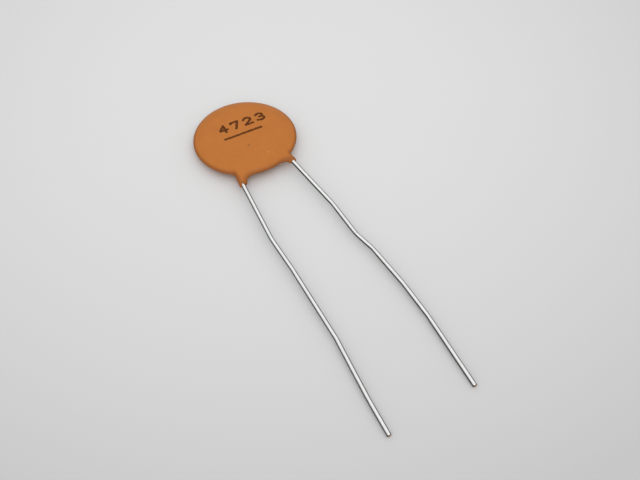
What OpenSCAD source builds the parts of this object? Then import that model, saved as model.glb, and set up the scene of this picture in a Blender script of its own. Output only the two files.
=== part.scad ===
// Ceramic disc capacitor, lying on a flat surface on its far rim and its two lead tips.
// Millimetres, +Z up, leads towards -Y, origin on the surface under the middle of the outline.

/* [Ceramic disc] */
// Diameter of the fired ceramic disc
ceramic_d = 9.2; // [9:0.1:14]
// Thickness of the fired ceramic disc
ceramic_t = 0.35; // [0.3:0.05:1]
// Bare ceramic left round each silver electrode
electrode_margin = 0.5; // [0.2:0.05:0.8]
// Thickness of each fired silver electrode
electrode_t = 0.03; // [0.02:0.01:0.06]

/* [Leads] */
// Diameter of the tinned wire
wire_d = 0.5; // [0.4:0.05:0.8]
// Distance between the leads where they leave the coat
lead_pitch = 6.35; // [5:0.05:7.5]
// Length of the left lead from there to its cut end
left_len = 38; // [36:0.5:60]
// Length of the right lead from there to its cut end
right_len = 37; // [31:0.5:60]
// Length of wire that lies along the ceramic
inner_len = 5.4; // [4.5:0.1:7]
// Outward splay of the left lead
left_splay_angle = 3; // [0:0.5:12]
// Outward splay of the right lead
right_splay_angle = 9.5; // [0:0.5:12]
// Centre line radius of the gentle bends in the free wire
bend_r = 4; // [2:0.5:6]

/* [Step beside the ceramic] */
// Slope at which the wire steps from its electrode to the middle of the coat
step_angle = 30; // [25:1:40]
// Centre line radius of the two bends of the step
step_r = 0.6; // [0.5:0.05:0.8]
// Gap between the edge of the ceramic and the start of the step
step_gap = 0.25; // [0.2:0.05:0.5]

/* [Solder] */
// Solder between the electrode and the wire that lies on it
solder_film = 0.03; // [0.02:0.01:0.06]
// Length of the solder along the wire
solder_len = 3.2; // [2:0.1:3.8]
// Reach of the solder on each side of the wire
solder_side = 0.5; // [0.3:0.05:0.8]
// Depth of the hollow in each flank of the solder
solder_hollow = 0.06; // [0.02:0.01:0.08]

/* [Coat] */
// Resin over the wires on each face
face_cover = 0.08; // [0.06:0.01:0.3]
// Resin round the edge of the ceramic
edge_cover = 1.4; // [1.2:0.05:1.8]
// Radius of the thin rounded rim
rim_r = 0.25; // [0.2:0.01:0.35]
// Radius of the soft shoulder between each flat face and the rim
shoulder_r = 3.5; // [2.5:0.1:5]
// Length of the resin neck on the left lead past the rim
left_neck_len = 1.7; // [1:0.05:2.5]
// Length of the resin neck on the right lead past the rim
right_neck_len = 1.1; // [1:0.05:2.5]
// Resin round the wire at the end of each neck
neck_cover = 0.15; // [0.1:0.01:0.2]

/* [Pose] */
// Tilt of the disc at rest, lead side raised
rest_tilt = 2.5; // [1:0.5:5]

/* [Hidden] */

$fn = 96;
FRONT = "front";    // the upper face of the ceramic, which carries the left lead
BACK = "back";      // the lower face, which carries the right lead
RIGHT = 0;          // ways a bend can turn, as its angle round the wire
UP = 90;
LEFT = 180;
DOWN = 270;

// Bends of the free wire, each as [straight before it, turn to the right seen from above]
left_bends = [[10.1, 6], [4.6, -2], [9.8, -4], [8, 2]];
right_bends = [[8.8, -5], [4.4, 10.5], [2.1, -7.5], [5.4, -3.5], [4.6, -3.5]];

// Radii of the hollow curves on the left and the right of each neck, seen from above
left_fillets = [0.9, 1.2];
right_fillets = [1.5, 0.5];

// Solder on the wire: its height up the wire and the half width of its crest, as shares of the wire
rise_share = 0.85;
crest_share = 0.4;

// Resin over the wires where the shoulder falls away, as a share of the resin on the faces, and
// the web beside a neck, as a share of the rim's thickness
ridge_share = 0.7;
web_share = 0.8;

// The stack from the middle plane out, and the coat round it
wire_r = wire_d / 2;
ceramic_r = ceramic_d / 2;
electrode_r = ceramic_r - electrode_margin;
electrode_z = ceramic_t / 2 + electrode_t;
wire_z = electrode_z + solder_film + wire_r;
coat_t = 2 * (wire_z + wire_r + face_cover);
coat_r = ceramic_r + edge_cover;
flat_r = coat_r - rim_r - half_chord(shoulder_r - rim_r, shoulder_r - coat_t / 2);
ridge_r = wire_r + face_cover * ridge_share;

// The necks, which start inside the coat, and the web of resin between them and the rim
neck_sink = 0.8;
neck_r = wire_r + neck_cover;
web_half = wire_r + neck_cover / 2;
web_t = 2 * rim_r * web_share;

// Where each lead reaches the middle plane and heads out, just inside the rim
exit_x = lead_pitch / 2;
exit_y = half_chord(ceramic_r, exit_x) + step_gap + step_run(FRONT, 0);
rim_y = half_chord(coat_r, exit_x);

// Height of the middle of the disc over the surface, which its lower shoulder touches
disc_z = shoulder_r - (shoulder_r - coat_t / 2) * cos(rest_tilt) + flat_r * sin(rest_tilt);
exit_z = disc_z + exit_y * sin(rest_tilt);

// The bends of each free wire with the straight that ends it
left_run = concat(left_bends, [[left_len - bends_len(left_bends), 0]]);
right_run = concat(right_bends, [[right_len - bends_len(right_bends), 0]]);

// Downward bend of each lead, against the tilted disc, that lays its tip on the surface
left_droop = droop(left_run, -left_splay_angle);
right_droop = droop(right_run, right_splay_angle);

// Middle of the outline that the whole part covers
left_tip = tip(left_run, -left_splay_angle, left_droop, -exit_x);
right_tip = tip(right_run, right_splay_angle, right_droop, exit_x);
rim_reach = (coat_r - rim_r) * cos(rest_tilt) + rim_r;
middle_x = (max(coat_r, right_tip.x + wire_r) + min(-coat_r, left_tip.x - wire_r)) / 2;
middle_y = (rim_reach + min(left_tip.y, right_tip.y)) / 2;

function half_chord(r, offset) = sqrt(r * r - offset * offset);
function side(face) = face == FRONT ? 1 : -1;

// Length of the bends of a lead with the straights before them
function bends_len(bends, i = 0) =
    i == len(bends) ? 0
    : bends[i][0] + bend_r * abs(bends[i][1]) * PI / 180 + bends_len(bends, i + 1);

// End of the free wire as [right, forward] of its start, where it heads forward
function run_end(run, heading = 0, i = 0) =
    i == len(run) ? [0, 0]
    : let (turn = run[i][1], next = heading + turn)
      run[i][0] * [sin(heading), cos(heading)]
      + sign(turn) * bend_r * [cos(heading) - cos(next), sin(next) - sin(heading)]
      + run_end(run, next, i + 1);

function droop(run, splay) =
    let (end = run_end(run),
         rise = cos(splay) * sin(rest_tilt),
         side_drop = sin(splay) * sin(rest_tilt) * end[0],
         fall = (exit_z - side_drop - wire_r) / end[1])
    round(1000 * (atan2(rise, cos(rest_tilt)) + asin(fall / norm([rise, cos(rest_tilt)])))) / 1000;

// Cut end of a lead as it rests, from the middle of the disc
function tip(run, splay, droop, x) =
    let (end = run_end(run),
         y = -exit_y + end[0] * sin(splay) - end[1] * cos(droop) * cos(splay),
         z = -end[1] * sin(droop))
    [x + end[0] * cos(splay) + end[1] * cos(droop) * sin(splay),
     y * cos(rest_tilt) + z * sin(rest_tilt)];

// Slanted length of the step from the electrode to the middle plane, and its whole run along the disc
function step_slant(droop) =
    (wire_z - step_r * (1 + cos(droop) - 2 * cos(step_angle))) / sin(step_angle);
function step_run(face, droop) =
    step_r * (2 * sin(step_angle) - side(face) * sin(droop)) + step_slant(droop) * cos(step_angle);

// From the frame of the disc to its place at rest
module at_rest() {
    translate([-middle_x, -middle_y, disc_z]) rotate([-rest_tilt, 0, 0]) children();
}

// From the upper face of the ceramic to that face or the lower one
module on_face(face) {
    mirror([0, 0, face == FRONT ? 0 : 1]) children();
}

// Onto the line of a lead, a distance back from its exit, with +Z towards the tip and +Y up
module along_lead(x, splay, back = 0) {
    translate([x, -exit_y, 0]) rotate([90, 0, splay]) translate([0, 0, -back]) children();
}

// A move in whole hundredths and then the small rest, so that wire meets wire end to end with no gap
module exactly(move) {
    whole = [for (length = move) round(length * 100) / 100];
    translate(whole) translate(move - whole) children();
}

// Wire from the origin along +Z, with what follows at its end
module straight(length, r = wire_r) {
    cylinder(h = length, r = r);
    translate([0, 0, length]) children();
}

// A bend of the wire from the origin, where it heads along +Z, with what follows at its end
module bend(angle, radius, way, r = wire_r) {
    rotate([0, 0, way]) {
        translate([radius, 0, 0]) rotate([90, 0, 180])
            rotate_extrude(angle = angle) translate([radius, 0]) circle(r = r);
        exactly([radius * (1 - cos(angle)), 0, radius * sin(angle)]) rotate([0, angle, 0])
            rotate([0, 0, -way]) children();
    }
}

// The free wire: each straight, its bend and the rest in turn
module free_run(run, i = 0) {
    turn = run[i][1];
    straight(run[i][0])
        if (i + 1 < len(run)) bend(abs(turn), bend_r, turn > 0 ? RIGHT : LEFT) free_run(run, i + 1);
}

// The buried wire: along its electrode and down the step to the middle plane, where the rest follows
module buried(face, x, splay, droop, r = wire_r) {
    along_lead(x, splay, inner_len + step_run(face, droop)) translate([0, side(face) * wire_z, 0])
        straight(inner_len, r)
            bend(step_angle, step_r, face == FRONT ? DOWN : UP, r)
                straight(step_slant(droop), r)
                    bend(step_angle - side(face) * droop, step_r, face == FRONT ? UP : DOWN, r)
                        children();
}

module left_buried(r = wire_r) { buried(FRONT, -exit_x, -left_splay_angle, left_droop, r) children(); }
module right_buried(r = wire_r) { buried(BACK, exit_x, right_splay_angle, right_droop, r) children(); }
module left_wire() { left_buried() free_run(left_run); }
module right_wire() { right_buried() free_run(right_run); }

// Half of the solder's section beside the wire, standing on the electrode
module solder_flank() {
    foot = [wire_r + solder_side, 0];
    top = [wire_d * crest_share, solder_film + wire_d * rise_share];
    flank = norm(foot - top);
    hollow_r = (flank * flank / 4 + solder_hollow * solder_hollow) / (2 * solder_hollow);
    outward = [top.y, foot.x - top.x] / flank;
    difference() {
        polygon([[0, 0], foot, top, [0, top.y]]);
        translate((top + foot) / 2 + outward * (hollow_r - solder_hollow)) circle(r = hollow_r);
    }
}

// Solder that runs along a wire from its inner end and closes round both ends of the joint
module solder_mound(face, x, splay, droop) {
    along_lead(x, splay, inner_len + step_run(face, droop)) rotate([0, 0, face == FRONT ? 0 : 180])
        translate([0, electrode_z, 0]) {
            linear_extrude(solder_len) { solder_flank(); mirror([1, 0]) solder_flank(); }
            for (end = [0, solder_len]) translate([0, 0, end]) rotate([-90, 0, 0])
                rotate_extrude() solder_flank();
        }
}

module left_mound() { solder_mound(FRONT, -exit_x, -left_splay_angle, left_droop); }
module right_mound() { solder_mound(BACK, exit_x, right_splay_angle, right_droop); }

module ceramic_shape() {
    translate([0, 0, -ceramic_t / 2]) cylinder(h = ceramic_t, r = ceramic_r);
}

module electrode_shape(face) {
    on_face(face) translate([0, 0, ceramic_t / 2]) cylinder(h = electrode_t, r = electrode_r);
}

// The section of the dipped disc: flat faces, a soft shoulder on each and a thin rounded rim
module coat_section() {
    slope = asin((coat_r - rim_r - flat_r) / (shoulder_r - rim_r));
    rim_x = coat_r - rim_r + rim_r * sin(slope);
    translate([0, -coat_t / 2]) square([flat_r, coat_t]);
    intersection() {
        translate([flat_r, -shoulder_r]) square([rim_x - flat_r, 2 * shoulder_r]);
        translate([flat_r, coat_t / 2 - shoulder_r]) circle(r = shoulder_r);
        translate([flat_r, shoulder_r - coat_t / 2]) circle(r = shoulder_r);
    }
    translate([coat_r - rim_r, 0]) circle(r = rim_r);
}

// Plan of the web between the rim and a neck: a hollow curve on each side touches both
module web_plan(x, splay, fillets) {
    center = [exit_y * sin(splay) - x * cos(splay), exit_y * cos(splay) + x * sin(splay)];
    root_r = coat_r - rim_r;

    function curve_r(way) = fillets[way < 0 ? 0 : 1];
    function curve_at(way) =
        let (across = way * (web_half + curve_r(way)))
        [across, center.y - half_chord(root_r + curve_r(way), across - center.x)];
    function root_at(way) = center + (curve_at(way) - center) * root_r / (root_r + curve_r(way));

    translate([x, -exit_y]) rotate(splay) difference() {
        polygon([[0, neck_sink], root_at(-1), [-web_half, curve_at(-1).y],
                 [web_half, curve_at(1).y], root_at(1)]);
        for (way = [-1, 1]) translate(curve_at(way)) circle(r = curve_r(way));
    }
}

// The neck of resin that creeps out along a lead, and its web
module neck(x, splay, droop, length, fillets) {
    reach = (rim_y - exit_y) / cos(splay) + length;
    translate([0, 0, -web_t / 2]) linear_extrude(web_t) web_plan(x, splay, fillets);
    along_lead(x, splay) rotate([droop, 0, 0]) translate([0, 0, -neck_sink])
        cylinder(h = neck_sink + reach, r = neck_r);
}

module coating() {
    color([0.75, 0.47, 0.24]) at_rest() difference() {
        union() {
            rotate_extrude() coat_section();
            left_buried(ridge_r);
            right_buried(ridge_r);
            neck(-exit_x, -left_splay_angle, left_droop, left_neck_len, left_fillets);
            neck(exit_x, right_splay_angle, right_droop, right_neck_len, right_fillets);
        }
        ceramic_shape();
        for (face = [FRONT, BACK]) electrode_shape(face);
        left_mound();
        right_mound();
        left_wire();
        right_wire();
    }
}

module ceramic_disc() {
    color([0.82, 0.76, 0.64]) at_rest() ceramic_shape();
}

module front_electrode() {
    color([0.85, 0.85, 0.83]) at_rest() electrode_shape(FRONT);
}

module back_electrode() {
    color([0.85, 0.85, 0.83]) at_rest() electrode_shape(BACK);
}

module front_solder() {
    color([0.62, 0.63, 0.65]) at_rest() difference() {
        left_mound();
        left_wire();
    }
}

module back_solder() {
    color([0.62, 0.63, 0.65]) at_rest() difference() {
        right_mound();
        right_wire();
    }
}

module left_lead() {
    color([0.78, 0.79, 0.79]) at_rest() left_wire();
}

module right_lead() {
    color([0.78, 0.79, 0.79]) at_rest() right_wire();
}

coating();
ceramic_disc();
front_electrode();
back_electrode();
front_solder();
back_solder();
left_lead();
right_lead();
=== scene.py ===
"""Looks of a ceramic disc capacitor: dipped coat, tinned leads and printed value, on a pale floor."""

import math

import bpy
import numpy as np
from bpy.props import (FloatProperty, FloatVectorProperty, IntProperty, PointerProperty,
                       StringProperty)
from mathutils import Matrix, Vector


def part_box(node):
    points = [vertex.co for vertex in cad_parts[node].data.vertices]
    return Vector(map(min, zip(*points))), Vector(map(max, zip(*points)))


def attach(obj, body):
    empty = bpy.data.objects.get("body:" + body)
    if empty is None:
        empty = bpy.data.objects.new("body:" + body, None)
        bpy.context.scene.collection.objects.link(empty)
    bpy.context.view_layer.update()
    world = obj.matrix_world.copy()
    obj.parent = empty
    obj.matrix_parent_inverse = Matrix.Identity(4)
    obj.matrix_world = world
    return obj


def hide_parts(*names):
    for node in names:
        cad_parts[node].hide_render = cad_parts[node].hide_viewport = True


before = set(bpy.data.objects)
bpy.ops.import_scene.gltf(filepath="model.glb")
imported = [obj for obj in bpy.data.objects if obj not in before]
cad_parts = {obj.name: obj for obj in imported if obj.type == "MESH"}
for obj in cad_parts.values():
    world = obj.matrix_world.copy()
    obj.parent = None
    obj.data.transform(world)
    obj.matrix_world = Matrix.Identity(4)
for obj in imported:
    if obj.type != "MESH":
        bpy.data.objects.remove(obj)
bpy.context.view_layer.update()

bl_info = {
    "name": "Ceramic disc capacitor",
    "version": (1, 0, 0),
    "blender": (4, 5, 0),
    "location": "3D View > Sidebar > Capacitor",
    "description": "Coat, leads, printed value and stage of a ceramic disc capacitor",
    "category": "Object",
}

MM = 0.001
BODY = "root"
UP = np.array([0.0, 0.0, 1.0])


# ---------------------------------------------------------------- what the frame gives

def node_points(node):
    """Vertices of a CAD node, in metres."""
    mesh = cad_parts[node].data
    points = np.empty(len(mesh.vertices) * 3)
    mesh.vertices.foreach_get("co", points)
    return points.reshape(-1, 3)


class Disc:
    """The tilted frame of the disc: +X to the right lead, +Y away from the leads, +Z out of its face."""

    def __init__(self):
        low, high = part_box("ceramic_disc")
        self.centre = np.array((low + high) / 2)
        self.normal = self.face_normal("ceramic_disc")
        self.right = np.array([1.0, 0.0, 0.0])
        self.back = np.cross(self.normal, self.right)
        coat = self.local(node_points("coating"))
        self.coat_r = (coat[:, 0].max() - coat[:, 0].min()) / 2
        self.coat_t = coat[:, 2].max() * 2

    @staticmethod
    def face_normal(node):
        """Normal of the largest face of a node, turned upwards."""
        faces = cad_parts[node].data.polygons
        normal = np.array(max(faces, key=lambda face: face.area).normal)
        return normal if normal[2] > 0 else -normal

    def axes(self):
        """The three axes of the disc, as rows."""
        return np.stack([self.right, self.back, self.normal])

    def local(self, points):
        """Points in the frame of the disc."""
        return (points - self.centre) @ self.axes().T

    def world(self, points):
        """Points of the disc's frame in the shared frame."""
        return points @ self.axes() + self.centre


class Wire:
    """Centre line of a lead from its inner end to its cut end, read from its CAD node."""

    SLICE = 0.25 * MM       # distance from one slice of the wire to the next
    END_ROOM = 0.4 * MM     # stretch at each end that is left out of the slices

    def __init__(self, node):
        self.points = node_points(node)
        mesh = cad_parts[node].data
        edges = np.empty(len(mesh.edges) * 2, int)
        mesh.edges.foreach_get("vertices", edges)
        self.edges = edges.reshape(-1, 2)
        first = self.points[:, 1].max() - self.END_ROOM
        last = self.points[:, 1].min() + self.END_ROOM
        count = round((first - last) / self.SLICE)
        line = np.array([self.middle(y) for y in np.linspace(first, last, count)])
        self.radius = self.section_radius((first + last) / 2)
        inner, tip = self.end(line[1], line[0]), self.end(line[-2], line[-1])
        self.line = np.concatenate([[inner], line, [tip]])

    def crossing(self, y):
        """Points where the node's edges cross a plane across the Y axis."""
        a, b = self.points[self.edges[:, 0]], self.points[self.edges[:, 1]]
        cut = (a[:, 1] - y) * (b[:, 1] - y) < 0
        a, b = a[cut], b[cut]
        share = (y - a[:, 1]) / (b[:, 1] - a[:, 1])
        return a + (b - a) * share[:, None]

    def middle(self, y):
        """Middle of the wire where it crosses a plane."""
        ring = self.crossing(y)
        return (ring.min(axis=0) + ring.max(axis=0)) / 2

    def section_radius(self, y):
        """Radius of the wire where it crosses a plane."""
        ring = self.crossing(y)
        return (ring[:, 2].max() - ring[:, 2].min()) / 2

    def end(self, before, last):
        """The line carried on from its last slice to the flat end of the node."""
        way = (last - before) / np.linalg.norm(last - before)
        return last + way * (((self.points - last) @ way).max())

    def resampled(self, step):
        """Points of the line at even steps, and how far along it each one is."""
        lengths = np.linalg.norm(np.diff(self.line, axis=0), axis=1)
        along = np.concatenate([[0], np.cumsum(lengths)])
        even = np.linspace(0, along[-1], round(along[-1] / step) + 1)
        points = np.stack([np.interp(even, along, self.line[:, i]) for i in range(3)], axis=1)
        return points, even


DISC = Disc()
WIRES = {"left": Wire("left_lead"), "right": Wire("right_lead")}


# ---------------------------------------------------------------- meshes

NET_PULLS = 8        # times that each point of a net is pulled onto its surface
LEAST_SLOPE = 0.05   # least squared slope that a pull divides by
PULL_REACH = 0.1     # reach of a slope, as a share of the cell
LONGEST_PULL = 0.5   # longest pull, as a share of the cell


def smooth_step(value, low, high):
    """Eased share of the way from low to high."""
    share = np.clip((value - low) / (high - low), 0, 1)
    return share * share * (3 - 2 * share)


def new_piece(name, points, faces, replaced):
    """A smooth mesh object that rides on the body and hides the CAD nodes that it replaces."""
    mesh = bpy.data.meshes.new(name)
    mesh.from_pydata(points.tolist(), [], [list(map(int, face)) for face in faces])
    mesh.validate()
    mesh.shade_smooth()
    piece = bpy.data.objects.new(name, mesh)
    bpy.context.scene.collection.objects.link(piece)
    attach(piece, BODY)
    for node in replaced:
        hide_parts(node)
    return piece


def add_mask(piece, name, values):
    """Stores one number for each point of a mesh, for its material."""
    mask = piece.data.attributes.new(name, "FLOAT", "POINT")
    mask.data.foreach_set("value", np.asarray(values, np.float32))


def slope(field, points, reach):
    """Gradient of a field, from its values a short reach away on each side."""
    parts = []
    for axis in np.eye(3) * reach:
        parts.append((field(points + axis) - field(points - axis)) / (2 * reach))
    return np.stack(parts, axis=1)


def surface_net(field, low, high, step):
    """Closed mesh of the surface where a field is zero: a point in each cell that it crosses."""
    axes = [np.arange(a, b + s, s) for a, b, s in zip(low, high, step)]
    shape = [len(axis) for axis in axes]
    grid = np.stack(np.meshgrid(*axes, indexing="ij"), axis=-1).reshape(-1, 3)
    inside = (field(grid) < 0).reshape(shape)

    corners = np.zeros([n - 1 for n in shape], int)
    for corner in np.ndindex(2, 2, 2):
        corners += inside[tuple(slice(c, n - 1 + c) for c, n in zip(corner, shape))]
    crossed = (corners > 0) & (corners < 8)
    index = np.full(crossed.shape, -1)
    index[crossed] = np.arange(crossed.sum())
    points = np.array(low) + (np.argwhere(crossed) + 0.5) * step

    longest = LONGEST_PULL * np.array(step)
    for _ in range(NET_PULLS):
        gradient = slope(field, points, min(step) * PULL_REACH)
        size = np.maximum((gradient ** 2).sum(axis=1), LEAST_SLOPE)
        move = -gradient * (field(points) / size)[:, None]
        points += np.clip(move, -longest, longest)

    faces = []
    for axis in range(3):
        order = (axis, (axis + 1) % 3, (axis + 2) % 3)
        solid, cell = inside.transpose(order), index.transpose(order)
        here, there = solid[:-1, 1:-1, 1:-1], solid[1:, 1:-1, 1:-1]
        for way in (1, -1):
            i, j, k = np.nonzero(here & ~there if way > 0 else there & ~here)
            ring = [cell[i, j, k], cell[i, j + 1, k], cell[i, j + 1, k + 1], cell[i, j, k + 1]]
            faces.append(np.stack(ring[::way], axis=1))
    return points, np.concatenate(faces)


# ---------------------------------------------------------------- coat

# Sine waves, each as (height, turns along x, turns along y, start)
RAGGED_NECK = ((0.06, 2, 0, 0.7), (0.035, 5, 0, 2.1), (0.02, 9, 0, 0.4))
RAGGED_INK = ((0.012, 11, 5, 0), (0.010, -7, 17, 1), (0.008, 29, 13, 2), (0.006, 0, 41, 3))
FACE_WAVE = ((1, 0.9, 0.4, 0.3), (1, -0.5, 1.1, 1.9), (0.6, 1.7, 1.3, 0), (0.5, 2.3, -1.6, 0.8))
OUT_OF_ROUND = ((1, 2, 0, 1.5208), (0.35, 1, 0, 3.1408), (0.25, 3, 0, 3.5708))


def ripple(waves, x, y=0.0):
    """Sum of sine waves at each place."""
    return sum(high * np.sin(over_x * x + over_y * y + start) for high, over_x, over_y, start in waves)


class Neck:
    """Resin that creeps out along a lead, in the frame of the disc."""

    STRAIGHT = (7.6 * MM, 11.5 * MM)    # stretch of free wire, ahead of the disc, that it lines up with
    ROOT = 1.6 * MM                     # how far behind its exit the resin round the wire starts
    SPIKE_SPREAD = 0.5                  # spread of a spike round the wire, in radians
    SWELL = (-0.4, 1.2)                 # how much resin there is at the exit and at the neck's end,
    SWELL_RANGE = (0.15, 1.1)           # and the least and most of it, as shares of the cover
    END_FALL = 1.5                      # how fast the field rises past the end of the resin
    WEB_BLEND = 0.4 * MM                # width over which one web turns into the other
    DROP_SPREAD = 1.0 * MM              # width over which a neck draws the coat down with it

    def __init__(self, wire, settings, place):
        line = DISC.local(wire.line)
        free = line[(-line[:, 1] > self.STRAIGHT[0]) & (-line[:, 1] < self.STRAIGHT[1])]
        way = free[-1] - free[0]
        way /= np.linalg.norm(way)
        self.start = free[0] - way * (free[0][2] / way[2])
        self.out = way[:2] / np.linalg.norm(way[:2])
        self.fall = -way[2] / np.linalg.norm(way[:2])
        self.wire_r = wire.radius
        self.length = settings.necks[place]
        self.spike = settings.spikes[place]
        self.spike_way = settings.spike_ways[place]
        self.webs = (settings.left_webs[place], settings.right_webs[place])
        self.cover, self.cover_bias = settings.covers[place], settings.biases[place]
        self.lean = settings.leans[place]
        self.lip = settings.lip

    def local(self, points):
        """Along the lead from its exit, to its right and up, from its centre line."""
        away = points[:, :2] - self.start[:2]
        along = away @ self.out
        across = away @ np.array([-self.out[1], self.out[0]])
        return along, across, points[:, 2] + np.maximum(along, 0) * self.fall

    def reach(self, turn):
        """How far the resin reaches along the wire, all round it, with a spike on one side."""
        off = np.abs((turn - self.spike_way + math.pi) % (2 * math.pi) - math.pi)
        spike = self.spike * np.exp(-(off / self.SPIKE_SPREAD) ** 2)
        return self.length + ripple(RAGGED_NECK, turn) * MM + spike

    def tube(self, points):
        """Resin round the wire, which thins out to nothing at its ragged end."""
        along, across, height = self.local(points)
        turn = np.arctan2(height, across)
        left = self.reach(turn) - along
        start, end = self.SWELL
        swell = np.clip(start + (end - start) * along / self.length, *self.SWELL_RANGE)
        thick = self.cover * swell * (1 + self.cover_bias * np.cos(turn - self.spike_way))
        grown = np.clip(left / self.lip, 0, 1)
        cover = thick * np.sqrt(grown * (2 - grown))
        cover = np.where(left < 0, self.END_FALL * left, cover)
        return np.maximum(np.hypot(across, height) - self.wire_r - cover, -along - self.ROOT)

    def strip(self, points):
        """Distance to the outline of the neck, seen square to the face."""
        along, across, _ = self.local(points)
        ends = np.abs(along - self.length / 2 + self.lip) - self.length / 2 - self.lip
        return np.maximum(np.abs(across - self.lean) - self.wire_r - self.lean, ends)

    def web(self, points):
        """Size of the hollow curve into the disc, which differs from one side to the other."""
        _, across, _ = self.local(points)
        share = smooth_step(across, -self.WEB_BLEND, self.WEB_BLEND)
        return self.webs[0] + (self.webs[1] - self.webs[0]) * share

    def drop(self, points):
        """How far the neck's middle lies under the plane of the disc."""
        along, across, _ = self.local(points)
        return np.maximum(along, 0) * self.fall * np.exp(-(across / self.DROP_SPREAD) ** 2)


def face_wave(points, depth):
    """Faint unevenness of the dipped faces."""
    wave = ripple(FACE_WAVE, points[:, 0] / MM, points[:, 1] / MM)
    highest = sum(high for high, *_ in FACE_WAVE)
    return depth * (wave - highest) / highest


TINY = 1e-18         # keeps a division by a length squared from failing


def line_distance(points, line):
    """Distance from each point to a line of short straights."""
    nearest = np.full(len(points), np.inf)
    for a, b in zip(line[:-1], line[1:]):
        way = b - a
        share = np.clip((points - a) @ way / max(way @ way, TINY), 0, 1)
        off = points - a - share[:, None] * way
        nearest = np.minimum(nearest, (off * off).sum(axis=1))
    return np.sqrt(nearest)


def merge(a, b, size):
    """Union of two fields with a hollow curve of that size between them."""
    share = np.maximum(size - np.abs(a - b), 0) / size
    return np.minimum(a, b) - share * share * size / 4


class Coat:
    """The dipped coat as a field in the frame of the disc: below zero is resin."""

    def __init__(self, settings):
        self.half_t = DISC.coat_t / 2
        self.rim_r, self.shoulder_r = settings.rim_r, settings.shoulder_r
        self.rim_at = DISC.coat_r - self.rim_r
        span = math.sqrt((self.shoulder_r - self.rim_r) ** 2 - (self.shoulder_r - self.half_t) ** 2)
        self.flat_r = self.rim_at - span
        self.rim_turn = math.asin(span / (self.shoulder_r - self.rim_r))
        self.wave, self.wobble = settings.wave, settings.wobble
        self.seam, self.ridge_seam = settings.seam, settings.ridge_seam
        self.ridge_r = WIRES["left"].radius + settings.over_wire
        self.necks = [Neck(wire, settings, place) for place, wire in enumerate(WIRES.values())]
        self.buried = [self.buried_line(wire) for wire in WIRES.values()]

    @staticmethod
    def buried_line(wire):
        """Centre line of the stretch of a wire that lies under the coat, in the frame of the disc."""
        line = DISC.local(wire.line)
        return line[-line[:, 1] < DISC.coat_r]

    def outline(self, points):
        """Distance past the outline of the coat, seen square to its face, with its necks."""
        wobble = self.wobble * ripple(OUT_OF_ROUND, np.arctan2(points[:, 1], points[:, 0]))
        past = np.hypot(points[:, 0], points[:, 1]) - DISC.coat_r - wobble
        for neck in self.necks:
            past = merge(past, neck.strip(points), neck.web(points))
        return past

    def section(self, reach, height):
        """Distance to the section of the coat: a flat face, a wide shoulder and a tight rim."""
        shoulder_at = self.half_t - self.shoulder_r
        shoulder = np.hypot(reach - self.flat_r, height - shoulder_at) - self.shoulder_r
        rim = np.hypot(reach - self.rim_at, height) - self.rim_r
        turn = np.arctan2(reach - self.flat_r, height - shoulder_at)
        return np.where(turn < 0, height - self.half_t, np.where(turn < self.rim_turn, shoulder, rim))

    def field(self, points):
        """Distance out of the resin, roughly, at each point."""
        drop = sum(neck.drop(points) for neck in self.necks)
        height = np.abs(points[:, 2] + drop) - face_wave(points, self.wave)
        value = self.section(DISC.coat_r + self.outline(points), height)
        for line in self.buried:
            value = merge(value, line_distance(points, line) - self.ridge_r, self.ridge_seam)
        for neck in self.necks:
            value = merge(value, neck.tube(points), self.seam)
        return value


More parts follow.
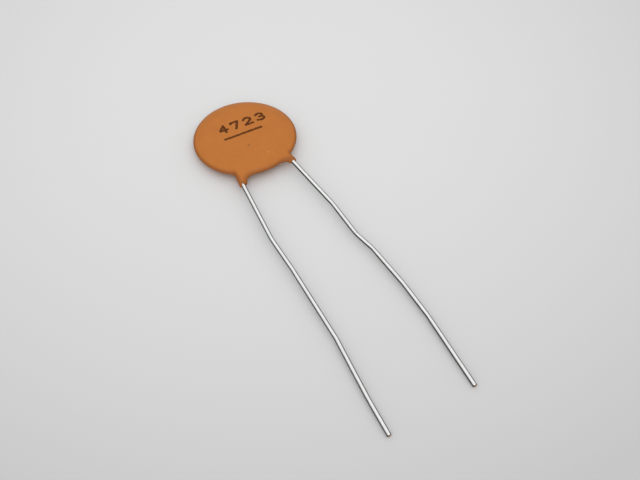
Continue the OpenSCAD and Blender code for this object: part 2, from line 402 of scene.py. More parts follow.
class CoatSettings(bpy.types.PropertyGroup):
    """Shape, marks and colours of the coat"""

    rim_r: FloatProperty(name="Rim", description="Radius of the tight curve at the edge",
                         default=0.25 * MM, unit="LENGTH")
    shoulder_r: FloatProperty(name="Shoulder", description="Radius of the wide curve that falls to the rim",
                              default=3.5 * MM, unit="LENGTH")
    wobble: FloatProperty(name="Out of round", description="How far the outline strays from a circle",
                          default=0.088 * MM, unit="LENGTH")
    wave: FloatProperty(name="Face wave", description="Depth of the faint unevenness of the faces",
                        default=0.012 * MM, unit="LENGTH")
    over_wire: FloatProperty(name="Over the wires", description="Resin over the wires on the faces",
                             default=0.03 * MM, unit="LENGTH")
    ridge_seam: FloatProperty(name="Ridge seam", description="Hollow curve beside a buried wire",
                              default=0.45 * MM, unit="LENGTH")
    seam: FloatProperty(name="Neck seam", description="Hollow curve where a neck leaves the rim",
                        default=0.15 * MM, unit="LENGTH")
    lip: FloatProperty(name="Neck lip", description="Length over which the end of a neck thins out",
                       default=0.3 * MM, unit="LENGTH")
    necks: FloatVectorProperty(name="Necks", description="Reach of the left and right neck past the exit",
                               size=2, default=(1.95 * MM, 1.0 * MM), unit="LENGTH")
    covers: FloatVectorProperty(name="Covers", description="Resin round the left and right wire",
                                size=2, default=(0.165 * MM, 0.12 * MM), unit="LENGTH")
    biases: FloatVectorProperty(name="Biases", size=2, default=(0.1, 0.2),
                                description="Share by which each cover is thicker on its spike's side")
    leans: FloatVectorProperty(name="Leans", description="How far each web leans to the right",
                               size=2, default=(0.1 * MM, 0.03 * MM), unit="LENGTH")
    spikes: FloatVectorProperty(name="Spikes", description="Ragged point at the end of each neck",
                                size=2, default=(0.3 * MM, 0.55 * MM), unit="LENGTH")
    spike_ways: FloatVectorProperty(name="Spike sides", description="Turn of each spike round its wire",
                                    size=2, default=(math.radians(165), math.radians(35)),
                                    unit="ROTATION")
    left_webs: FloatVectorProperty(name="Left webs", description="Hollow curve on the left of each neck",
                                   size=2, default=(0.2 * MM, 1.45 * MM), unit="LENGTH")
    right_webs: FloatVectorProperty(name="Right webs", description="Hollow curve on the right of each neck",
                                    size=2, default=(2.0 * MM, 0.15 * MM), unit="LENGTH")
    chip: FloatVectorProperty(name="Chip", description="Pale chip on the face, from its middle", size=2,
                              default=(1.19 * MM, -4.03 * MM), unit="LENGTH")
    pit: FloatVectorProperty(name="Pit", description="Dark pit on the face, from its middle", size=2,
                             default=(-0.36 * MM, -2.02 * MM), unit="LENGTH")
    # Share of the darker colour at the rim, which is painted shade along the edge of the coat
    rim_shade_share: FloatProperty(name="Thin rim", description="Share of the thin colour at the rim",
                             default=0.95, min=0, max=1, subtype="FACTOR")
    neck_share: FloatProperty(name="Thin neck", description="Share of the thin colour at a neck's end",
                              default=0.12, min=0, max=1, subtype="FACTOR")
    cell: FloatProperty(name="Mesh cell", description="Size of the mesh's cells",
                        default=0.075 * MM, unit="LENGTH")
    face_colour: FloatVectorProperty(name="Face", description="Colour of the resin on the faces",
                                     subtype="COLOR", size=3, default=(0.492, 0.156, 0.019))
    # Darker colour: painted shade at the rim, and thin resin at the necks' ends
    rim_shade_and_thin_colour: FloatVectorProperty(name="Thin resin", subtype="COLOR", size=3,
                                     description="Colour of the thin resin at the rim and the necks",
                                     default=(0.30, 0.090, 0.013))


class CAPACITOR_OT_coat(bpy.types.Operator):
    """Dipped resin coat with a neck on each lead"""
    bl_idname = "capacitor.coat"
    bl_label = "Coat"

    SPARE_CELLS = 4                     # cells round the coat
    NECK_ROOM = 1.6 * MM                # room for the necks past the rim
    RIM_BAND = (-0.4 * MM, -0.05 * MM)  # where the painted shade of the rim starts and is full
    NECK_BAND = (0.3 * MM, 1.5 * MM)    # where the thin resin colour of a neck is full and ends, back from its end

    def execute(self, context):
        settings = context.scene.capacitor_coat
        coat = Coat(settings)
        room = DISC.coat_r + self.SPARE_CELLS * settings.cell
        depth = DISC.coat_t / 2 + self.SPARE_CELLS * settings.cell
        low = (-room, -room - self.NECK_ROOM, -depth)
        points, faces = surface_net(coat.field, low, (room, room, depth), [settings.cell] * 3)
        piece = new_piece("resin_coat", DISC.world(points), faces, ["coating"])
        # Mask of the painted shade along the rim
        add_mask(piece, "rim", smooth_step(coat.outline(points), *self.RIM_BAND))
        past = np.min([neck.length - neck.local(points)[0] for neck in coat.necks], axis=0)
        add_mask(piece, "neck", 1 - smooth_step(past, *self.NECK_BAND))
        piece.data.materials.append(resin_material(settings))
        return {"FINISHED"}


# ---------------------------------------------------------------- leads

class LeadSettings(bpy.types.PropertyGroup):
    """Shape and colours of the wires"""

    sides: IntProperty(name="Sides", description="Facets round the wire", default=40)
    step: FloatProperty(name="Ring step", description="Distance between the rings of the mesh",
                        default=0.16 * MM, unit="LENGTH")
    uneven: FloatProperty(name="Unevenness", description="Share by which the tin varies in thickness",
                          default=0.012, min=0, max=1, subtype="FACTOR")
    grips: IntProperty(name="Grip marks", description="Bends of each wire that carry a mark", default=4)
    grip: FloatProperty(name="Grip depth", description="Share by which the wire is flattened at a bend",
                        default=0.06, min=0, max=1, subtype="FACTOR")
    grip_length: FloatProperty(name="Grip length", description="Half length of a mark along the wire",
                               default=0.5 * MM, unit="LENGTH")
    edge: FloatProperty(name="Cut edge", description="Rounding of the edge of the cut end",
                        default=0.1 * MM, unit="LENGTH")
    cut_slant: FloatProperty(name="Cut slant", description="Slant of the cut face over its width",
                             default=0.06 * MM, unit="LENGTH")
    colour: FloatVectorProperty(name="Tin", description="Colour of the tinned surface", subtype="COLOR",
                                size=3, default=(0.80, 0.81, 0.80))
    edge_colour: FloatVectorProperty(name="Grazing tin", subtype="COLOR", size=3,
                                     description="Tint of the tin's shine at a grazing angle",
                                     default=(0.02, 0.02, 0.02))
    # Direction that the painted dark reflection and shade on the wires' flanks turns away from
    unshaded_side: FloatVectorProperty(name="Bright side", subtype="DIRECTION", size=3,
                                     description="Side of the wires that was rubbed bright",
                                     default=(-0.17, 0.0, 0.985))
    # Colour of the painted dark reflection and shade on the wires' flanks
    flank_shade_colour: FloatVectorProperty(name="Flanks", subtype="COLOR", size=3,
                                      description="Colour of the tarnished flanks of the wire",
                                      default=(0.085, 0.09, 0.083))
    core_colour: FloatVectorProperty(name="Wire core", subtype="COLOR", size=3,
                                     description="Colour of the copper at the cut ends",
                                     default=(0.62, 0.36, 0.18))


STARTS = {"left": 0.0, "right": 2.4}    # start of the unevenness of each wire
# Waves of the tin, each as (share, turns along the wire, turns round it, times the start)
TIN_WAVE = ((0.25, 1.3, 2, 1), (0.25, 3.1, -1, 2))
GRIP_TURN = 0.6           # side of the wire that the pliers marked, in radians
BEND_WINDOW = 6           # rings on each side over which a bend is measured
BEND_GAP = 15             # rings that keep two bends apart
BURIED_LENGTH = 9 * MM    # stretch from the inner end that has no marks of bending


def tube_frames(line):
    """Direction, side and rise at each point of a line that never stands upright."""
    ahead = np.gradient(line, axis=0)
    ahead /= np.linalg.norm(ahead, axis=1)[:, None]
    side = np.cross(ahead, UP)
    side /= np.linalg.norm(side, axis=1)[:, None]
    return ahead, side, np.cross(side, ahead)


def bend_places(line, along, count):
    """The places along a free wire where it turns most, furthest apart first."""
    ahead = line[BEND_WINDOW:] - line[:-BEND_WINDOW]
    ahead /= np.linalg.norm(ahead, axis=1)[:, None]
    turn = np.linalg.norm(ahead[BEND_WINDOW:] - ahead[:-BEND_WINDOW], axis=1)
    turn[along[BEND_WINDOW:-BEND_WINDOW] < BURIED_LENGTH] = 0
    places = []
    for _ in range(count):
        best = int(np.argmax(turn))
        places.append(along[best + BEND_WINDOW])
        turn[max(best - BEND_GAP, 0):best + BEND_GAP] = 0
    return places


class CAPACITOR_OT_leads(bpy.types.Operator):
    """Two tinned wires with drawn skin, grip marks at their bends and bare cut ends"""
    bl_idname = "capacitor.leads"
    bl_label = "Leads"

    # The cut end, as (back from the tip in edge roundings, share of the radius)
    CUT_PROFILE = [(1.0, 1.0), (0.6, 0.97), (0.25, 0.91), (0.06, 0.84), (0.0, 0.78), (0.05, 0.74),
                   (0.12, 0.5), (0.2, 0.2)]
    COPPER_RINGS = 5        # the last of these rings, which lie in the copper
    SLANTED_SHARE = 0.9     # share of the radius inside which the slant of the cut shows

    def execute(self, context):
        settings = context.scene.capacitor_lead
        materials = [tin_material(settings), core_material(settings)]
        for side, start in STARTS.items():
            self.lead(side, settings, start, materials)
        return {"FINISHED"}

    def lead(self, name, settings, start, materials):
        """One wire, in place of its CAD node."""
        wire = WIRES[name]
        line, along = wire.resampled(settings.step)
        ahead, side, rise = tube_frames(line)
        turn = np.arange(settings.sides) * 2 * math.pi / settings.sides
        radius = np.full((len(line), settings.sides), wire.radius)
        waves = [(share, ahead_turns, round_turns, times * start)
                 for share, ahead_turns, round_turns, times in TIN_WAVE]
        thin = 0.5 + ripple(waves, (along / MM)[:, None], turn)
        radius *= 1 - settings.uneven * thin
        for place in bend_places(line, along, settings.grips):
            near = np.exp(-((along - place) / settings.grip_length) ** 2)[:, None]
            radius *= 1 - settings.grip * near * np.cos(turn - GRIP_TURN - start) ** 2
        rings = [self.ring(line[i], side[i], rise[i], radius[i], turn) for i in range(len(line))]
        rings[-1:] = self.cut_rings(line[-1], ahead[-1], side[-1], rise[-1], radius[-1], turn, settings)
        points, faces, cut = self.skin(rings, settings.sides, line[0])
        piece = new_piece(name + "_wire", points, faces, [name + "_lead"])
        for material in materials:
            piece.data.materials.append(material)
        for face in piece.data.polygons[cut:]:
            face.material_index = 1

    @staticmethod
    def ring(centre, side, rise, radius, turn):
        """Points round the wire at one place."""
        return centre + radius[:, None] * (np.cos(turn)[:, None] * side + np.sin(turn)[:, None] * rise)

    def cut_rings(self, tip, ahead, side, rise, radius, turn, settings):
        """Rings of the rounded edge of the cut end and of its face."""
        rings = []
        for back, share in self.CUT_PROFILE:
            slant = settings.cut_slant * share / 2 * (share < self.SLANTED_SHARE)
            lift = slant * (1 - np.sin(turn)) / 2
            ring = self.ring(tip - ahead * back * settings.edge, side, rise, radius * share, turn)
            rings.append(ring - lift[:, None] * ahead)
        return rings

    def skin(self, rings, sides, inner):
        """Quads between rings with a fan at each end, and the number of the first face of the cut."""
        points = np.concatenate(rings + [[inner], [rings[-1].mean(axis=0)]])
        first, last = len(points) - 2, len(points) - 1
        pairs = [(k, (k + 1) % sides) for k in range(sides)]
        faces = [(a, first, b) for a, b in pairs]
        for near in range(0, (len(rings) - 1) * sides, sides):
            far = near + sides
            faces += [(near + a, near + b, far + b, far + a) for a, b in pairs]
        base = (len(rings) - 1) * sides
        faces += [(base + a, base + b, last) for a, b in pairs]
        return points, faces, len(faces) - self.COPPER_RINGS * sides


# ---------------------------------------------------------------- printed value

ARC_POINTS = 15     # points on each arc of a digit


def line_stroke(*corners):
    """Points of a stroke with straight stretches."""
    return np.array(corners, float)


def arc_stroke(centre, radii, start, end):
    """Points on a stretch of an oval, from one angle to another in degrees."""
    turn = np.radians(np.linspace(start, end, ARC_POINTS))
    return np.stack([centre[0] + radii[0] * np.cos(turn), centre[1] + radii[1] * np.sin(turn)], axis=1)


# Strokes of each digit in a cell one wide and one high
DIGITS = {
    "0": [arc_stroke((0.5, 0.5), (0.42, 0.5), 0, 360)],
    "1": [line_stroke((0.18, 0.78), (0.5, 1), (0.5, 0)), line_stroke((0.15, 0), (0.85, 0))],
    "2": [arc_stroke((0.47, 0.7), (0.4, 0.3), 165, -25), line_stroke((0.83, 0.57), (0.06, 0), (0.92, 0))],
    "3": [arc_stroke((0.46, 0.75), (0.38, 0.25), 150, -90),
          arc_stroke((0.46, 0.26), (0.43, 0.26), 90, -150)],
    "4": [line_stroke((0.68, 0), (0.68, 1), (0.04, 0.32), (0.96, 0.32))],
    "5": [line_stroke((0.85, 1), (0.2, 1), (0.14, 0.58)),
          arc_stroke((0.45, 0.32), (0.42, 0.32), 130, -145)],
    "6": [arc_stroke((0.5, 0.3), (0.4, 0.3), 0, 360), arc_stroke((0.8, 0.35), (0.7, 0.65), 185, 95)],
    "7": [line_stroke((0.08, 0.86), (0.08, 1), (0.9, 1), (0.4, 0))],
    "8": [arc_stroke((0.5, 0.76), (0.34, 0.24), 0, 360), arc_stroke((0.5, 0.26), (0.42, 0.26), 0, 360)],
    "9": [arc_stroke((0.5, 0.7), (0.4, 0.3), 0, 360), arc_stroke((0.2, 0.65), (0.7, 0.65), 5, -85)],
}


class MarkSettings(bpy.types.PropertyGroup):
    """Digits, bar and ink of the printed value"""

    digits: StringProperty(name="Digits", description="Plain digits of the printed value",
                           default="4723")
    underlined: IntProperty(name="Underlined", description="How many digits the bar runs under",
                            default=3)
    height: FloatProperty(name="Digit height", description="Height of a digit", default=1.08 * MM,
                          unit="LENGTH")
    width: FloatProperty(name="Digit width", description="Width of a digit", default=1.07 * MM,
                         unit="LENGTH")
    pitch: FloatProperty(name="Pitch", description="Distance from one digit to the next",
                         default=1.58 * MM, unit="LENGTH")
    first: FloatVectorProperty(name="First digit", size=2, unit="LENGTH",
                               description="Lower left corner of the first digit, from the middle",
                               default=(-2.5 * MM, 1.13 * MM))
    bar: FloatVectorProperty(name="Bar", size=2, unit="LENGTH",
                             description="Left end of the bar, from the middle",
                             default=(-2.55 * MM, 0.03 * MM))
    stroke: FloatProperty(name="Stroke", description="Width of a printed stroke", default=0.31 * MM,
                          unit="LENGTH")
    film: FloatProperty(name="Ink", description="Thickness of the ink", default=0.008 * MM,
                        unit="LENGTH")
    ink_colour: FloatVectorProperty(name="Ink colour", description="Colour of the ink", subtype="COLOR",
                                    size=3, default=(0.082, 0.027, 0.007))


class CAPACITOR_OT_marking(bpy.types.Operator):
    """Plain printed digits over a bar, on the upper face"""
    bl_idname = "capacitor.marking"
    bl_label = "Printed value"

    CELL = (0.028 * MM, 0.028 * MM, 0.0055 * MM)    # size of the mesh's cells
    UNDER, OVER = 0.08 * MM, 0.03 * MM      # room for the film under and over the top of the coat

    def execute(self, context):
        settings = context.scene.capacitor_mark
        coat = Coat(context.scene.capacitor_coat)
        strokes = self.strokes(settings)
        ends = np.concatenate(strokes)

        def field(points):
            """Ink with slightly ragged edges, from just under the resin to just over it."""
            away = np.min([line_distance(points[:, :2], stroke) for stroke in strokes], axis=0)
            ragged = ripple(RAGGED_INK, points[:, 0] / MM, points[:, 1] / MM) * MM
            return np.maximum(away - settings.stroke / 2 + ragged,
                              np.abs(coat.field(points)) - settings.film)

        top = DISC.coat_t / 2
        low = (*(ends.min(axis=0) - settings.stroke), top - self.UNDER)
        high = (*(ends.max(axis=0) + settings.stroke), top + self.OVER)
        points, faces = surface_net(field, low, high, self.CELL)
        piece = new_piece("printed_value", DISC.world(points), faces, [])
        piece.data.materials.append(ink_material(settings))
        return {"FINISHED"}

    @staticmethod
    def strokes(settings):
        """Every stroke of the digits and the bar at its place on the face."""
        size = np.array([settings.width, settings.height])
        first = np.array(settings.first)
        strokes = []
        for place, digit in enumerate(settings.digits):
            corner = first + np.array([place * settings.pitch, 0])
            strokes += [corner + stroke * size for stroke in DIGITS[digit]]
        left = np.array(settings.bar)
        right = left + np.array([settings.underlined * settings.pitch, 0])
        return strokes + [np.array([left, right])]


# ---------------------------------------------------------------- shader node groups

def group_tree(name, inputs, outputs):
    """A new node group with (name, socket type, default) inputs and (name, socket type) outputs."""
    tree = bpy.data.node_groups.new(name, "ShaderNodeTree")
    for label, kind, default in inputs:
        socket = tree.interface.new_socket(label, in_out="INPUT", socket_type=kind)
        if default is not None:
            socket.default_value = default
    for label, kind in outputs:
        tree.interface.new_socket(label, in_out="OUTPUT", socket_type=kind)
    return tree, tree.nodes.new("NodeGroupInput"), tree.nodes.new("NodeGroupOutput")


def fill_inputs(tree, node, sources):
    """Links or sets each named input of a node."""
    for socket, source in sources.items():
        if isinstance(source, bpy.types.NodeSocket):
            tree.links.new(source, node.inputs[socket])
        else:
            node.inputs[socket].default_value = source


def add_node(tree, kind, sources, **values):
    """A node with its properties set and its inputs linked or set."""
    node = tree.nodes.new(kind)
    for key, value in values.items():
        setattr(node, key, value)
    fill_inputs(tree, node, sources)
    return node


def maths(tree, operation, a, b, use_clamp=False):
    """Output of a sum on two numbers or sockets."""
    return add_node(tree, "ShaderNodeMath", {0: a, 1: b}, operation=operation,
                    use_clamp=use_clamp).outputs[0]


def remap(tree, value, source=(0.0, 1.0), target=(0.0, 1.0), soft=False):
    """Output of a map from one range to another, straight or eased."""
    node = add_node(tree, "ShaderNodeMapRange",
                    {"Value": value, "From Min": source[0], "From Max": source[1],
                     "To Min": target[0], "To Max": target[1]},
                    interpolation_type="SMOOTHSTEP" if soft else "LINEAR")
    return node.outputs[0]


def noise(tree, places, scale, detail, roughness=0.5):
    """Output of a noise texture."""
    return add_node(tree, "ShaderNodeTexNoise",
                    {"Vector": places, "Scale": scale, "Detail": detail, "Roughness": roughness}).outputs[0]


def mix_numbers(tree, share, first, second):
    """Output of a mix between two numbers."""
    return add_node(tree, "ShaderNodeMix", {"Factor": share, "A": first, "B": second}).outputs[0]


def mix_colours(tree, share, first, second):
    """Colour socket of a mix between two colours or colour sockets."""
    return add_node(tree, "ShaderNodeMix", {0: share, 6: first, 7: second}, data_type="RGBA").outputs[2]


def mottle_group():
    """Two soft scales of cloudy variation between two colours."""
    tree, given, made = group_tree(
        "Mottle",
        [("Vector", "NodeSocketVector", None), ("Scale", "NodeSocketFloat", 600.0),
         ("Amount", "NodeSocketFloat", 0.5), ("Colour", "NodeSocketColor", None),
         ("Second Colour", "NodeSocketColor", None)],
        [("Colour", "NodeSocketColor"), ("Mask", "NodeSocketFloat")])
    times_finer, fine_share, contrast = 4.3, 0.4, (0.35, 0.65)
    wide = noise(tree, given.outputs["Vector"], given.outputs["Scale"], detail=3.0, roughness=0.55)
    finer = maths(tree, "MULTIPLY", given.outputs["Scale"], times_finer)
    fine = noise(tree, given.outputs["Vector"], finer, detail=4.0, roughness=0.6)
    spread = remap(tree, mix_numbers(tree, fine_share, wide, fine), contrast)
    share = maths(tree, "MULTIPLY", spread, given.outputs["Amount"])
    colour = mix_colours(tree, share, given.outputs["Colour"], given.outputs["Second Colour"])
    fill_inputs(tree, made, {"Colour": colour, "Mask": share})
    return tree


def grain_group():
    """Height of a fine grain with soft lumps under it, for a bump."""
    tree, given, made = group_tree(
        "Grain",
        [("Vector", "NodeSocketVector", None), ("Scale", "NodeSocketFloat", 3000.0),
         ("Lumps", "NodeSocketFloat", 0.5)],
        [("Height", "NodeSocketFloat")])
    lump_scale = 0.22
    fine = noise(tree, given.outputs["Vector"], given.outputs["Scale"], detail=3.0, roughness=0.6)
    wider = maths(tree, "MULTIPLY", given.outputs["Scale"], lump_scale)
    lumps = noise(tree, given.outputs["Vector"], wider, detail=2.0)
    fill_inputs(tree, made, {"Height": mix_numbers(tree, given.outputs["Lumps"], fine, lumps)})
    return tree


def speck_group():
    """Sparse small specks: a mask that is one on each of them."""
    tree, given, made = group_tree(
        "Specks",
        [("Vector", "NodeSocketVector", None), ("Scale", "NodeSocketFloat", 700.0),
         ("Size", "NodeSocketFloat", 0.08), ("Share", "NodeSocketFloat", 0.2)],
        [("Mask", "NodeSocketFloat")])
    cells = add_node(tree, "ShaderNodeTexVoronoi",
                     {"Vector": given.outputs["Vector"], "Scale": given.outputs["Scale"]})
    near = maths(tree, "LESS_THAN", cells.outputs["Distance"], given.outputs["Size"])
    pick = add_node(tree, "ShaderNodeSeparateColor", {0: cells.outputs["Color"]})
    kept = maths(tree, "LESS_THAN", pick.outputs[0], given.outputs["Share"])
    fill_inputs(tree, made, {"Mask": maths(tree, "MULTIPLY", near, kept)})
    return tree


GROUP_MAKERS = {"Mottle": mottle_group, "Grain": grain_group, "Specks": speck_group}


def place_group(tree, name, sources):
    """A shared node group in a material, built the first time that it is needed."""
    shared = bpy.data.node_groups.get(name) or GROUP_MAKERS[name]()
    node = tree.nodes.new("ShaderNodeGroup")
    node.node_tree = shared
    fill_inputs(tree, node, sources)
    return node


def mottle(tree, places, scale, amount, colour, second_share):
    """Outputs of the mottle between a colour and a darker or lighter share of it."""
    colour = np.array(colour)
    return place_group(tree, "Mottle", {"Vector": places, "Scale": scale, "Amount": amount,
                                        "Colour": rgba(colour),
                                        "Second Colour": rgba(colour * second_share)}).outputs


# ---------------------------------------------------------------- materials

CHIP_R = 0.13 * MM          # radius of the pale chip
PIT_R = 0.22 * MM           # radius of the dark pit
SPOT_CORE = 0.3             # share of a spot's radius inside which it is full
FLANK_SHADE = (0.82, 0.5)       # cosines from the unshaded side where the painted shade of the flanks starts and is full


def rgba(colour):
    """A colour with full opacity."""
    return (*colour[:3], 1.0)


def new_material(name, **values):
    """A material with plain values on its Principled shader: (material, tree, shader)."""
    material = bpy.data.materials.new(name)
    material.use_nodes = True
    tree = material.node_tree
    shader = tree.nodes["Principled BSDF"]
    for label, value in values.items():
        shader.inputs[label.replace("_", " ").title().replace("Ior", "IOR")].default_value = value
    return material, tree, shader


def object_places(tree, stretch=(1, 1, 1)):
    """Places on the object, stretched along the axes."""
    given = add_node(tree, "ShaderNodeTexCoord", {})
    mapped = add_node(tree, "ShaderNodeMapping", {"Vector": given.outputs["Object"], "Scale": stretch})
    return mapped.outputs[0]


def add_grain(tree, shader, places, scale, lumps, depth, strength=1.0):
    """Bump of the shared grain on a shader."""
    grain = place_group(tree, "Grain", {"Vector": places, "Scale": scale, "Lumps": lumps})
    bump = add_node(tree, "ShaderNodeBump",
                    {"Height": grain.outputs["Height"], "Distance": depth, "Strength": strength})
    fill_inputs(tree, shader, {"Normal": bump.outputs[0]})


def spot_mask(tree, places, centre, radius):
    """Mask of a soft spot on the upper face of the coat."""
    middle = DISC.world(np.array([*centre, DISC.coat_t / 2]))
    away = add_node(tree, "ShaderNodeVectorMath", {0: places, 1: middle}, operation="DISTANCE")
    return remap(tree, away.outputs["Value"], (radius, SPOT_CORE * radius), soft=True)


def resin_material(settings):
    """Dipped resin: satin, faintly clouded, darker at the rim with painted shade and at the necks' ends
    where it is thin, with a few specks.
    """
    material, tree, shader = new_material("dipped_resin", specular_ior_level=0.3)
    places = object_places(tree)
    face = np.array(settings.face_colour)
    clouds = mottle(tree, places, scale=700.0, amount=0.6, colour=face, second_share=0.88)
    colour = clouds["Colour"]
    # At the rim the darker colour is painted shade; at the necks' ends it is thin resin
    for name, share in (("rim", settings.rim_shade_share), ("neck", settings.neck_share)):
        mask = add_node(tree, "ShaderNodeAttribute", {}, attribute_name=name)
        thin = maths(tree, "MULTIPLY", mask.outputs["Fac"], share)
        colour = mix_colours(tree, thin, colour, rgba(settings.rim_shade_and_thin_colour))
    pits = place_group(tree, "Specks", {"Vector": places, "Scale": 500.0, "Size": 0.09, "Share": 0.1})
    chip = spot_mask(tree, places, settings.chip, CHIP_R)
    pit = spot_mask(tree, places, settings.pit, PIT_R)
    for mask, share in ((pits.outputs["Mask"], 0.75), (chip, 1.5), (pit, 0.6)):
        colour = mix_colours(tree, mask, colour, rgba(face * share))
    gloss = remap(tree, clouds["Mask"], target=(0.46, 0.58))
    fill_inputs(tree, shader, {"Base Color": colour, "Roughness": gloss})
    add_grain(tree, shader, places, scale=5200.0, lumps=0.6, depth=0.02 * MM, strength=0.6)
    return material


def ink_material(settings):
    """Stamped ink that lies thinner in places, so the resin shows through."""
    material, tree, shader = new_material("stamped_ink", roughness=0.8, specular_ior_level=0.05)
    places = object_places(tree)
    clouds = mottle(tree, places, scale=2600.0, amount=0.8, colour=settings.ink_colour,
                    second_share=2.2)
    fill_inputs(tree, shader, {"Base Color": clouds["Colour"]})
    add_grain(tree, shader, places, scale=9000.0, lumps=0.4, depth=0.01 * MM, strength=0.5)
    return material


def tin_material(settings):
    """Hot-tinned wire: a painted dark reflection and shade on the flanks, drawn streaks along it, dull
    patches and a few dark nicks.
    """
    material, tree, shader = new_material("tinned_copper", metallic=1.0,
                                          specular_tint=rgba(settings.edge_colour))
    places = object_places(tree)
    tin = np.array(settings.colour)
    clouds = mottle(tree, places, scale=900.0, amount=0.7, colour=tin, second_share=0.86)
    nicks = place_group(tree, "Specks", {"Vector": places, "Scale": 900.0, "Size": 0.16, "Share": 0.12})
    colour = mix_colours(tree, nicks.outputs["Mask"], clouds["Colour"], rgba(tin * 0.55))
    # Painted dark reflection and shade: flanks that turn away from the unshaded side take the dark flank
    # colour
    given = add_node(tree, "ShaderNodeTexCoord", {})
    facing = add_node(tree, "ShaderNodeVectorMath",
                      {0: given.outputs["Normal"], 1: settings.unshaded_side}, operation="DOT_PRODUCT")
    flank_shade = remap(tree, facing.outputs["Value"], FLANK_SHADE, soft=True)
    colour = mix_colours(tree, flank_shade, colour, rgba(settings.flank_shade_colour))
    gloss = remap(tree, clouds["Mask"], target=(0.12, 0.24))
    fill_inputs(tree, shader, {"Base Color": colour, "Roughness": gloss})
    drawn = object_places(tree, stretch=(1, 0.03, 1))
    add_grain(tree, shader, drawn, scale=9000.0, lumps=0.3, depth=0.006 * MM, strength=0.6)
    return material


def core_material(settings):
    """Sheared copper: dull, with smears from the cutter."""
    material, tree, shader = new_material("sheared_copper", metallic=1.0, roughness=0.45)
    clouds = mottle(tree, object_places(tree), scale=3000.0, amount=1.0, colour=settings.core_colour,
                    second_share=0.5)
    fill_inputs(tree, shader, {"Base Color": clouds["Colour"]})
    smeared = object_places(tree, stretch=(1, 1, 0.2))
    add_grain(tree, shader, smeared, scale=14000.0, lumps=0.3, depth=0.012 * MM, strength=0.8)
    return material


class InnerSettings(bpy.types.PropertyGroup):
    """Colours inside the coat"""

    ceramic: FloatVectorProperty(name="Ceramic", description="Colour of the fired ceramic",
                                 subtype="COLOR", size=3, default=(0.64, 0.54, 0.37))
    silver: FloatVectorProperty(name="Silver", description="Colour of the fired silver",
                                subtype="COLOR", size=3, default=(0.80, 0.79, 0.76))
    solder: FloatVectorProperty(name="Solder", description="Colour of the solder",
                                subtype="COLOR", size=3, default=(0.42, 0.43, 0.45))


class CAPACITOR_OT_inner_parts(bpy.types.Operator):
    """Finishes of the ceramic, its fired silver and the solder inside the coat"""
    bl_idname = "capacitor.inner_parts"
    bl_label = "Inner parts"

    # Nodes, name of the finish, its colour, clouding, metal, roughness and grain
    FINISHES = [
        (["ceramic_disc"], "fired_ceramic", "ceramic", 0.92, 0.0, 0.75, 0.010 * MM),
        (["front_electrode", "back_electrode"], "fired_silver", "silver", 0.85, 1.0, 0.45, 0.004 * MM),
        (["front_solder", "back_solder"], "solder", "solder", 0.80, 1.0, 0.35, 0.012 * MM),
    ]

    def execute(self, context):
        settings = context.scene.capacitor_inner
        for nodes, name, key, second, metallic, roughness, depth in self.FINISHES:
            material, tree, shader = new_material(name, metallic=metallic, roughness=roughness)
            places = object_places(tree)
            clouds = mottle(tree, places, scale=1100.0, amount=0.8, colour=getattr(settings, key),
                            second_share=second)
            fill_inputs(tree, shader, {"Base Color": clouds["Colour"]})
            add_grain(tree, shader, places, scale=6000.0, lumps=0.4, depth=depth)
            for node in nodes:
                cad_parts[node].data.materials.clear()
                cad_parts[node].data.materials.append(material)
        return {"FINISHED"}


# ---------------------------------------------------------------- stage

FLOOR_SIDES = 96            # sides of the round floor
DARK_WALLS = (0.3, 0.5)     # sines of the height at which reflections turn from the walls to the ceiling


class StageSettings(bpy.types.PropertyGroup):
    """Floor, light and camera"""

    floor_colour: FloatVectorProperty(name="Floor", description="Colour of the floor", subtype="COLOR",
                                      size=3, default=(0.705, 0.705, 0.705))
    # Middle, reach and far share of a pool of light painted into the floor's colour
    painted_light_spot: FloatVectorProperty(name="Bright spot", subtype="TRANSLATION", size=3,
                                     description="Where the floor is brightest",
                                     default=(8 * MM, 28 * MM, 0.0))
    painted_light_r: FloatProperty(name="Bright radius", description="How far the floor's tone falls off",
                            default=65 * MM, unit="LENGTH")
    painted_falloff_tone: FloatProperty(name="Far tone", description="Share of the tone that is left out there",
                            default=0.745, min=0, max=1, subtype="FACTOR")
    floor_r: FloatProperty(name="Floor radius", description="Radius of the round floor", default=0.9,
                           unit="LENGTH")
    panel_size: FloatProperty(name="Panel", description="Side of the soft light panel", default=0.3,
                              unit="LENGTH")
    panel_place: FloatVectorProperty(name="Panel place", description="Middle of the soft light panel",
                                     subtype="TRANSLATION", size=3, default=(-0.10, -0.22, 0.42))
    panel_power: FloatProperty(name="Panel power", description="Power of the soft light", default=0.47,
                               unit="POWER")
    sky_high: FloatProperty(name="Overhead glow", description="Brightness of the room overhead",
                            default=1.08)
    sky_low: FloatProperty(name="Horizon glow", description="Brightness of the room near the floor",
                           default=0.6)
    mirror_high: FloatProperty(name="Overhead in reflections",
                               description="Brightness of the room overhead as shiny parts show it",
                               default=1.1)
    mirror_low: FloatProperty(name="Horizon in reflections",
                              description="Brightness of the walls near the floor as shiny parts show them",
                              default=0.2)
    camera_place: FloatVectorProperty(name="Camera", description="Place of the camera",
                                      subtype="TRANSLATION", size=3,
                                      default=(-44.15 * MM, -87.95 * MM, 125.52 * MM))
    camera_down: FloatProperty(name="Looking down", description="Angle below the horizon",
                               default=math.radians(51.45), subtype="ANGLE")
    camera_heading: FloatProperty(name="Heading", description="Angle to the right of +Y",
                                  default=math.radians(26.69), subtype="ANGLE")
    lens: FloatProperty(name="Focal length", description="Focal length of the camera, in millimetres",
                        default=81.0, unit="CAMERA")


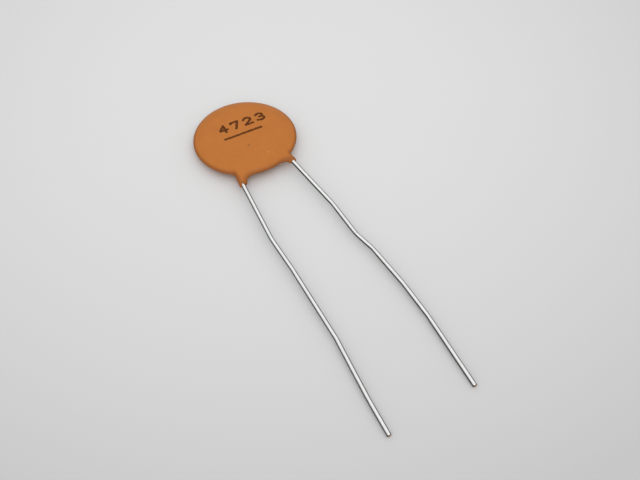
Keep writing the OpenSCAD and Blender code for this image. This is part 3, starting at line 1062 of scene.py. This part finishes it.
def floor_material(settings):
    """Matt floor with a painted pool of light: its colour falls off away from a bright spot."""
    material, tree, shader = new_material("pale_floor", roughness=0.85, specular_ior_level=0.1)
    colour = np.array(settings.floor_colour)
    places = object_places(tree)
    clouds = mottle(tree, places, scale=60.0, amount=0.3, colour=colour, second_share=0.98)
    # Painted pool of light: the floor's colour darkens away from its spot
    away = add_node(tree, "ShaderNodeVectorMath", {0: places, 1: settings.painted_light_spot},
                    operation="DISTANCE")
    share = maths(tree, "DIVIDE", away.outputs["Value"], settings.painted_light_r, use_clamp=True)
    far = mix_colours(tree, maths(tree, "POWER", share, 2.0), clouds["Colour"],
                      rgba(colour * settings.painted_falloff_tone))
    fill_inputs(tree, shader, {"Base Color": far})
    return material


class CAPACITOR_OT_stage(bpy.types.Operator):
    """Pale floor, soft light and camera"""
    bl_idname = "capacitor.stage"
    bl_label = "Stage"

    def execute(self, context):
        settings = context.scene.capacitor_stage
        self.floor(settings)
        self.panel(settings)
        self.world(context.scene, settings)
        self.camera(context.scene, settings)
        context.scene.view_settings.view_transform = "Standard"
        return {"FINISHED"}

    @staticmethod
    def floor(settings):
        """A wide round floor under the part."""
        turn = np.linspace(0, 2 * math.pi, FLOOR_SIDES, endpoint=False)
        rim = np.stack([np.cos(turn), np.sin(turn), 0 * turn], axis=1) * settings.floor_r
        mesh = bpy.data.meshes.new("floor")
        mesh.from_pydata(rim.tolist(), [], [list(range(len(rim)))])
        mesh.materials.append(floor_material(settings))
        floor = bpy.data.objects.new("floor", mesh)
        bpy.context.scene.collection.objects.link(floor)

    @staticmethod
    def panel(settings):
        """A soft lamp that faces the part."""
        light = bpy.data.lights.new("soft_panel", "AREA")
        light.shape = "SQUARE"
        light.size = settings.panel_size
        light.energy = settings.panel_power
        panel = bpy.data.objects.new("soft_panel", light)
        panel.location = settings.panel_place
        panel.rotation_euler = panel.location.to_track_quat("Z", "Y").to_euler()
        bpy.context.scene.collection.objects.link(panel)

    @staticmethod
    def world(scene, settings):
        """A room that is brighter overhead than near the floor."""
        world = bpy.data.worlds.new("room")
        world.use_nodes = True
        tree = world.node_tree
        given = add_node(tree, "ShaderNodeTexCoord", {})
        height = add_node(tree, "ShaderNodeSeparateXYZ", {0: given.outputs["Generated"]}).outputs["Z"]
        glow = remap(tree, height, target=(settings.sky_low, settings.sky_high))
        shown = remap(tree, height, DARK_WALLS, (settings.mirror_low, settings.mirror_high), soft=True)
        path = add_node(tree, "ShaderNodeLightPath", {})
        level = mix_numbers(tree, path.outputs["Is Glossy Ray"], glow, shown)
        fill_inputs(tree, tree.nodes["Background"], {"Color": (1, 1, 1, 1), "Strength": level})
        scene.world = world

    @staticmethod
    def camera(scene, settings):
        """The camera of the main view."""
        data = bpy.data.cameras.new("camera")
        data.lens = settings.lens
        data.clip_start = 1 * MM
        camera = bpy.data.objects.new("camera", data)
        camera.location = settings.camera_place
        camera.rotation_euler = (math.pi / 2 - settings.camera_down, 0, -settings.camera_heading)
        scene.collection.objects.link(camera)
        scene.camera = camera


# ---------------------------------------------------------------- add-on

class CAPACITOR_PT_panel(bpy.types.Panel):
    """Lists the pieces of the capacitor and their sizes"""
    bl_idname = "CAPACITOR_PT_panel"
    bl_label = "Ceramic disc capacitor"
    bl_space_type = "VIEW_3D"
    bl_region_type = "UI"
    bl_category = "Capacitor"

    def draw(self, context):
        for key, (group, operator) in PIECES.items():
            box = self.layout.box()
            box.operator(operator.bl_idname)
            settings = getattr(context.scene, key)
            for name in group.__annotations__:
                box.prop(settings, name)


PIECES = {
    "capacitor_coat": (CoatSettings, CAPACITOR_OT_coat),
    "capacitor_lead": (LeadSettings, CAPACITOR_OT_leads),
    "capacitor_mark": (MarkSettings, CAPACITOR_OT_marking),
    "capacitor_inner": (InnerSettings, CAPACITOR_OT_inner_parts),
    "capacitor_stage": (StageSettings, CAPACITOR_OT_stage),
}
CLASSES = [*(item for pair in PIECES.values() for item in pair), CAPACITOR_PT_panel]


def register():
    for item in CLASSES:
        bpy.utils.register_class(item)
    for key, (group, _) in PIECES.items():
        setattr(bpy.types.Scene, key, PointerProperty(type=group))


def unregister():
    for key in PIECES:
        delattr(bpy.types.Scene, key)
    for item in reversed(CLASSES):
        bpy.utils.unregister_class(item)


def main():
    """Makes every piece in turn."""
    register()
    bpy.ops.capacitor.coat()
    bpy.ops.capacitor.leads()
    bpy.ops.capacitor.marking()
    bpy.ops.capacitor.inner_parts()
    bpy.ops.capacitor.stage()


if __name__ == "__main__":
    main()
